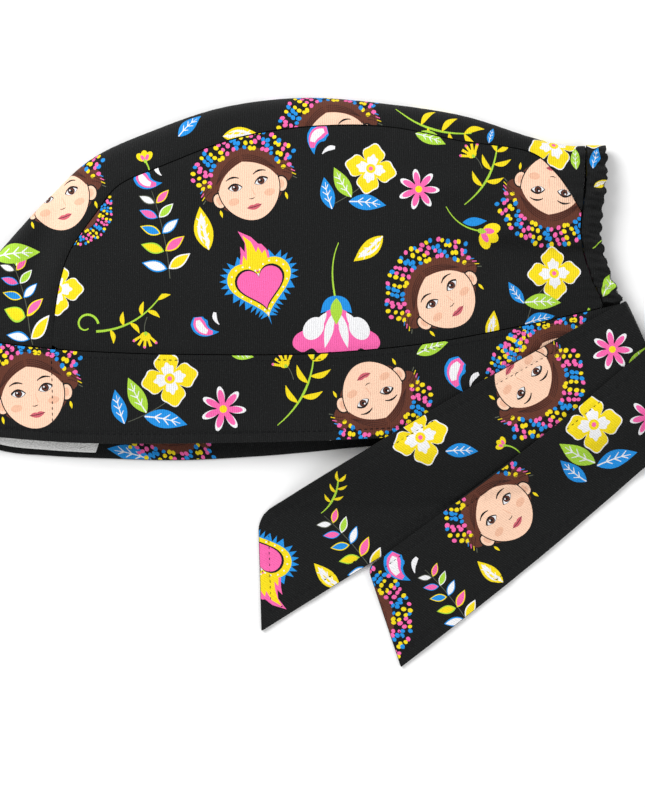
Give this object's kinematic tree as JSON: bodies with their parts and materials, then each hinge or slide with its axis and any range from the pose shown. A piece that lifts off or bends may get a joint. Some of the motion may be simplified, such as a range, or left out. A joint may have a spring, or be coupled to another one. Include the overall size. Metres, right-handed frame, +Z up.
{
  "type": "surgical scrub cap",
  "caption": "Cloth scrub cap with a brow band, gathered nape and tie backs, lying flat on its side.",
  "frame": {"origin": "under the middle of the outline, on the surface that the cap lies on", "axes": "+X from the brow to the nape, +Y from the ties to the crown, +Z up from the surface"},
  "size_m": [0.3398, 0.2608, 0.022],
  "materials": {
    "printed_cotton": "black printed woven cotton, matt",
    "white_terry": "white looped cotton towelling"
  },
  "bodies": {
    "root": {"near_side_panel": "printed_cotton", "far_side_panel": "printed_cotton", "crown_strip": "printed_cotton", "brow_band": "printed_cotton", "sweatband": "white_terry", "nape_casing": "printed_cotton", "near_tie": "printed_cotton", "far_tie": "printed_cotton"}
  },
  "joints": []
}
